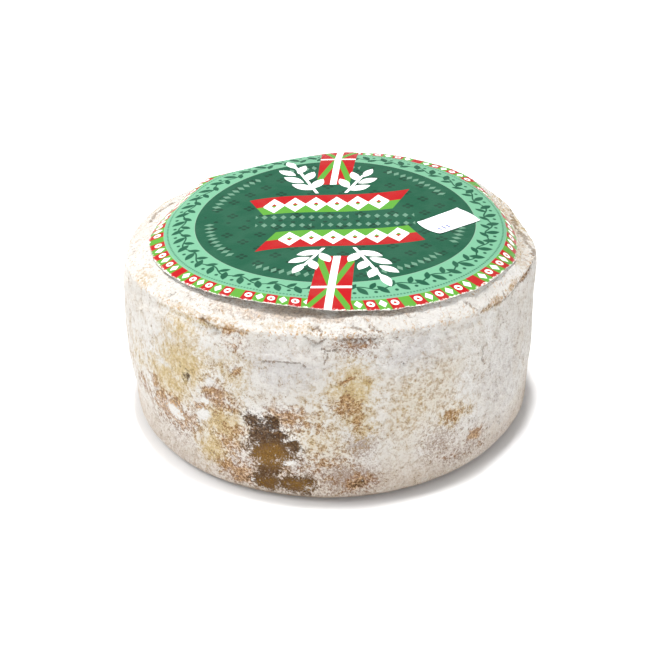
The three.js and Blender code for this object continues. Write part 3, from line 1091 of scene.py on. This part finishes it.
def cells(value, pitch):
    """Place within a repeating cell, from minus to plus half the pitch."""
    return ((value / pitch).maths("FRACT") - 0.5) * pitch


def either(first, *others):
    """The strongest of several masks."""
    for other in others:
        first = first.maths("MAXIMUM", other)
    return first


# %% Parts of the print
def disc_print(tree, colour, across, up, radius, turn):
    """The dark disc, its florets and its ring and rows of small pale marks."""
    colour = blend(radius.inside(67.0, 0.2), colour, INK["dark"])
    slant = cells(across + up + 4.0, 15.4)
    other_slant = cells(across - up + 2.0, 15.4)
    x = (slant + other_slant) * 0.5
    y = (slant - other_slant) * 0.5
    far = x.size().maths("MAXIMUM", y.size())
    near = x.size().maths("MINIMUM", y.size())
    lobes = (far - 1.75).reach(near).inside(1.05, 0.25)
    colour = blend(lobes * radius.inside(63.0, 0.5), colour, INK["floret"])
    # Ring of marks: groups of ten with a gap between the groups.
    ring_place = turn * (96 / (2 * math.pi))
    in_group = (ring_place / 13.7).maths("FRACT").inside(0.74, 0.01)
    mark = cells(ring_place, 1.0) * 3.9
    ring_marks = lozenge(mark, radius - 60.0, 1.35, 2.5) * in_group
    # Two rows of marks across the middle.
    row_mark = lozenge(cells(across, 4.5), up - 4.4, 1.5, 2.3)
    gap = (across - 9.0).size().inside(2.3, 0.1)
    in_row = across.size().inside(38.0, 0.2) * (gap * -1.0 + 1.0)
    return blend(either(ring_marks, row_mark * in_row), colour, INK["pale"])


def mint_print(tree, colour, radius, turn):
    """The mint ring with a running vine of leaves."""
    in_ring = (radius - 74.4).size().inside(7.4, 0.15)
    colour = blend(in_ring, colour, INK["mint"])
    pitch = 9.25
    vine = turn * (50 / (2 * math.pi)) * pitch
    x = cells(vine, pitch)
    stem = radius - 73.2 - (vine * (math.pi / pitch)).maths("SINE") * 1.5
    rising = leaf(tree, x, radius, (1.4, 75.0), 58, 7.6, 3.3)
    falling = leaf(tree, x, radius, (-2.4, 71.4), -52, 6.2, 2.8)
    berry = (x + 2.2).reach(radius - 76.4).inside(0.85, 0.2)
    drawn = either(rising, falling, berry, stem.size().inside(0.42, 0.15))
    colour = blend(drawn * in_ring, colour, INK["dark"])
    dots = cells(turn * 76.0, 1.5).size().inside(0.45, 0.15)
    dots = dots * (radius - 79.9).size().inside(0.4, 0.15)
    return blend(dots * 0.75, colour, INK["dark"])


def border_print(tree, colour, radius, turn):
    """Slanted red and green segments, most with a white motif."""
    count = 98
    slant = (radius - 85.4) * -0.025
    place = turn * (count / (2 * math.pi)) + slant + 0.385
    parity = (place * 0.5).maths("FRACT")
    on_red = (parity - 0.75).size().inside(0.25, 0.012)
    stripe = blend(on_red, INK["green"], INK["red"])
    x = cells(place, 1.0) * 5.45
    y = radius - 84.9
    diamond = lozenge(x, y, 1.9, 2.5)
    ring_mark = (x.reach(y) - 1.25).size().inside(0.5, 0.15)
    motif = diamond + on_red * (ring_mark - diamond)
    # Every seventh segment is left plain.
    skipped = ((place / 7.0).maths("FRACT") - 2.5 / 7).size().inside(0.5 / 7, 0.004)
    stripe = blend(motif * (skipped * -1.0 + 1.0), stripe, INK["white"])
    return blend(soft_step(radius, 81.65, 81.95), colour, stripe)


def ribbon_print(tree, colour, across, up):
    """A waving ribbon, red over green, with a row of white lozenges."""
    bend = ((across + 2.0) / 39.5).maths("POWER", 3.0) * 5.1
    share = (up - bend - 9.8) / 18.5
    left_end = share * -7.0 - 34.5
    right_end = share * 9.4 + 28.0
    inside = (share - 0.5).size().inside(0.5, 0.008)
    inside = inside * soft_step(across - left_end, -0.15, 0.15)
    inside = inside * soft_step(right_end - across, -0.15, 0.15)
    two_tone = blend(soft_step(share, 0.46, 0.48), INK["green"], INK["red"])
    colour = blend(inside, colour, two_tone)
    x = cells(across + 3.9, 10.2)
    y = up - bend - 18.6
    diamonds = lozenge(x, y, 5.5, 7.6, 0.04) - lozenge(x, y, 1.5, 2.3, 0.1)
    in_row = (across + 3.9).size().inside(30.6, 0.1)
    return blend(diamonds * in_row * inside, colour, INK["white"])


def panel_print(tree, colour, across, up, radius):
    """A red panel with green diagonals and white bars."""
    middle = across - (up - 40.2) * 0.0992 + 0.35
    half = (up - 40.0) * 0.028 + 8.2
    inside = soft_step(half - middle.size(), -0.12, 0.12) * soft_step(up, 39.5, 40.0)
    past = up - 70.8
    outward = (past / 18.0).maths("MAXIMUM", past / -30.0)
    diagonal = (middle.size() - outward * half).size().inside(1.55, 0.15)
    panel = blend(diagonal, INK["red"], INK["green"])
    bars = either(middle.size().inside(1.65, 0.15), past.size().inside(0.95, 0.15))
    panel = blend(bars, panel, INK["white"])
    return blend(inside, colour, panel)


SPRIG_LEAVES = [
    # centre, turn in degrees, length, width
    ((-15.5, 37.5), 152, 12.5, 5.6), ((-8.0, 41.0), 62, 11.5, 5.2), ((-20.0, 45.5), 146, 12.0, 5.4),
    ((-12.0, 49.5), 66, 11.0, 5.0), ((-23.4, 54.0), 142, 11.0, 4.8), ((-16.0, 57.6), 70, 10.5, 4.6),
    ((-21.6, 64.4), 112, 11.0, 4.4), ((12.5, 35.6), 22, 12.0, 5.4), ((5.2, 41.0), 112, 11.0, 5.0),
    ((17.0, 43.2), 28, 11.0, 5.0), ((10.6, 48.6), 104, 10.5, 4.6), ((17.4, 52.2), 62, 10.5, 4.2),
]


def sprig_print(tree, colour, across, up):
    """A white leafy sprig on each side of the panel."""
    left_stem = (across + 8.6 + (up - 31.0) * 0.36).size().inside(0.8, 0.15)
    left_stem = left_stem * (up - 46.5).size().inside(16.0, 0.2)
    right_stem = (across - 6.0 - (up - 31.0) * 0.48).size().inside(0.8, 0.15)
    right_stem = right_stem * (up - 40.0).size().inside(9.5, 0.2)
    drawn = either(left_stem, right_stem)
    for centre, turn, length, width in SPRIG_LEAVES:
        drawn = either(drawn, leaf(tree, across, up, centre, turn, length, width))
    return blend(drawn, colour, INK["white"])


# %% Material for the label
def label_material():
    """Coated paper with the print on its upper side."""
    material, tree, shader = new_material("printed_label")
    place = place_in_mm(tree)
    across = stored(tree, "across")
    up = stored(tree, "up")
    printed = stored(tree, "printed_side")
    radius = across.reach(up)
    turn = up.maths("ARCTAN2", across) + math.pi
    side = up.maths("SIGN")
    turned_across = across * side
    turned_up = up * side

    fibre = use_group(tree, paper_fibre, Place=place, Depth=1.0)
    colour = disc_print(tree, INK["paper"], turned_across, turned_up, radius, turn)
    colour = mint_print(tree, colour, radius, turn)
    colour = border_print(tree, colour, radius, turn)
    colour = panel_print(tree, colour, turned_across, turned_up, radius)
    colour = sprig_print(tree, colour, turned_across, turned_up)
    colour = ribbon_print(tree, colour, turned_across, turned_up)

    # The ink is a little uneven, rubs off along the torn edge and is on one side only.
    uneven = soft_step(fibre["Shade"], 0.3, 0.7)
    colour = blend(uneven * 0.06, colour, INK["pale"])
    near_cut = soft_step(radius, 86.0, 90.0)
    bare = ragged(tree, near_cut, grain(tree, place, 0.7, 4, 0.7), 0.7, 0.74, 0.82)
    bare = either(bare, printed.inside(0.5, 0.01))
    colour = blend(bare, colour, INK["paper"])
    plug(tree, shader.inputs["Base Color"], colour)
    plug(tree, shader.inputs["Roughness"], bare * 0.4 + fibre["Shade"] * 0.16 + 0.3)
    shader.inputs["Specular IOR Level"].default_value = 0.2
    bump = tree.nodes.new("ShaderNodeBump")
    bump.inputs["Distance"].default_value = MM * 0.12
    bump.inputs["Strength"].default_value = 0.5
    crinkle = grain(tree, place, 0.12, 3, 0.5)
    rough_paper = fibre["Height"] * 0.3 + crinkle * 2.5 + bare * fibre["Height"] * 2.0
    plug(tree, bump.inputs["Height"], rough_paper)
    tree.links.new(bump.outputs["Normal"], shader.inputs["Normal"])
    return material


label_mesh.materials.append(label_material())
print("label nodes:", len(label_mesh.materials[0].node_tree.nodes))

# %% [markdown]
# ## The sticker's finish
#
# Bright white thermal paper, with a few short worn strokes of grey-blue ink near one
# corner that can't be read. They are measured along and across the sticker, so the
# sheet keeps both distances as attributes.

# %% Material for the sticker
def sticker_material():
    """White sticker paper with a few strokes of ink."""
    material, tree, shader = new_material("white_sticker")
    place = place_in_mm(tree)
    along = stored(tree, "along")
    wide = stored(tree, "wide")
    fibre = use_group(tree, paper_fibre, Place=place, Depth=1.0)
    colour = blend(soft_step(fibre["Shade"], 0.3, 0.7), paint(250, 251, 253), paint(243, 245, 249))
    # A few short strokes of worn stamp ink near one edge.
    strokes = cells(along + 0.6, 2.4).size().inside(0.6, 0.3)
    strokes = strokes * (along + 6.8).size().inside(4.0, 0.2)
    strokes = strokes * (wide + 4.0).size().inside(1.8, 0.4)
    worn = soft_step(grain(tree, place, 0.9, 3, 0.7), 0.1, 0.4)
    colour = blend(strokes * worn, colour, paint(96, 102, 150))
    rim = soft_step(along.size() * (2 / STICKER_LENGTH), 0.98, 1.04)
    colour = blend(rim * 0.3, colour, paint(228, 228, 226))
    plug(tree, shader.inputs["Base Color"], colour)
    plug(tree, shader.inputs["Roughness"], fibre["Shade"] * 0.2 + 0.45)
    bump = tree.nodes.new("ShaderNodeBump")
    bump.inputs["Distance"].default_value = MM * 0.05
    bump.inputs["Strength"].default_value = 0.6
    plug(tree, bump.inputs["Height"], fibre["Height"])
    tree.links.new(bump.outputs["Normal"], shader.inputs["Normal"])
    return material


sticker_mesh.materials.append(sticker_material())
print("sticker nodes:", len(sticker_mesh.materials[0].node_tree.nodes))

# %% [markdown]
# ## Floor, light and camera
#
# The cheese stands on a plain white floor under soft studio light. A bright room
# lights it from all round. One light hangs high over the cheese, so that the top is
# the brightest part and the label's lifted edge throws a shadow on the rind. A broad
# soft light on the left and a weaker one at the front right lift the side.

# %% Floor
floor_mesh = bpy.data.meshes.new("floor")
REACH = 5.0
corners = [(-REACH, -REACH, 0), (REACH, -REACH, 0), (REACH, REACH, 0), (-REACH, REACH, 0)]
floor_mesh.from_pydata(corners, [], [(0, 1, 2, 3)])
floor = bpy.data.objects.new("floor", floor_mesh)
bpy.context.scene.collection.objects.link(floor)
floor_material, floor_tree, floor_shader = new_material("white_board")
board = grain(floor_tree, place_in_mm(floor_tree), 0.01, 2)
floor_colour = blend(soft_step(board, 0.3, 0.7), paint(250, 250, 250), paint(248, 248, 249))
plug(floor_tree, floor_shader.inputs["Base Color"], floor_colour)
floor_shader.inputs["Roughness"].default_value = 0.9
floor_mesh.materials.append(floor_material)


# %% Lights
def soft_light(name, place, aim, size, power):
    """A square area light that shines at a point."""
    light = bpy.data.lights.new(name, "AREA")
    light.size = size
    light.energy = power
    lamp = bpy.data.objects.new(name, light)
    lamp.location = place
    lamp.rotation_euler = (Vector(aim) - Vector(place)).to_track_quat("-Z", "Y").to_euler()
    bpy.context.scene.collection.objects.link(lamp)


soft_light("key_light", (-0.02, 0.1, 2.2), (0, 0, 0.05), 0.3, 66.0)
soft_light("left_light", (-1.15, 0.1, 0.75), (0, 0, 0.06), 1.2, 19.0)
soft_light("front_light", (0.75, -1.25, 0.3), (0, 0, 0.06), 0.6, 10.5)

world = bpy.data.worlds.new("white_room")
world.use_nodes = True
world.node_tree.nodes["Background"].inputs["Color"].default_value = (1.0, 1.0, 1.0, 1.0)
world.node_tree.nodes["Background"].inputs["Strength"].default_value = 0.34
bpy.context.scene.world = world
bpy.context.scene.view_settings.view_transform = "Standard"

# %% [markdown]
# The camera looks down at the cheese from about 29 degrees above the floor, from a
# little under 0.8 m away, with a long portrait lens. It leans one degree, as a camera
# held by hand does. Its place and aim are in millimetres.

# %% Camera
CAMERA_PLACE = Vector((-2.6, -673.7, 414.2)) * MM
CAMERA_AIM = Vector((-2.55, -2.2, 38.0)) * MM
CAMERA_LEAN = math.radians(-1.035)
camera_data = bpy.data.cameras.new("camera")
camera_data.lens = 86.0
camera_data.sensor_width = 36.0
camera = bpy.data.objects.new("camera", camera_data)
camera.location = CAMERA_PLACE
aimed = (CAMERA_AIM - CAMERA_PLACE).to_track_quat("-Z", "Y")
leaned = aimed @ Quaternion((0, 0, 1), CAMERA_LEAN)
camera.rotation_euler = leaned.to_euler()
bpy.context.scene.collection.objects.link(camera)
bpy.context.scene.camera = camera
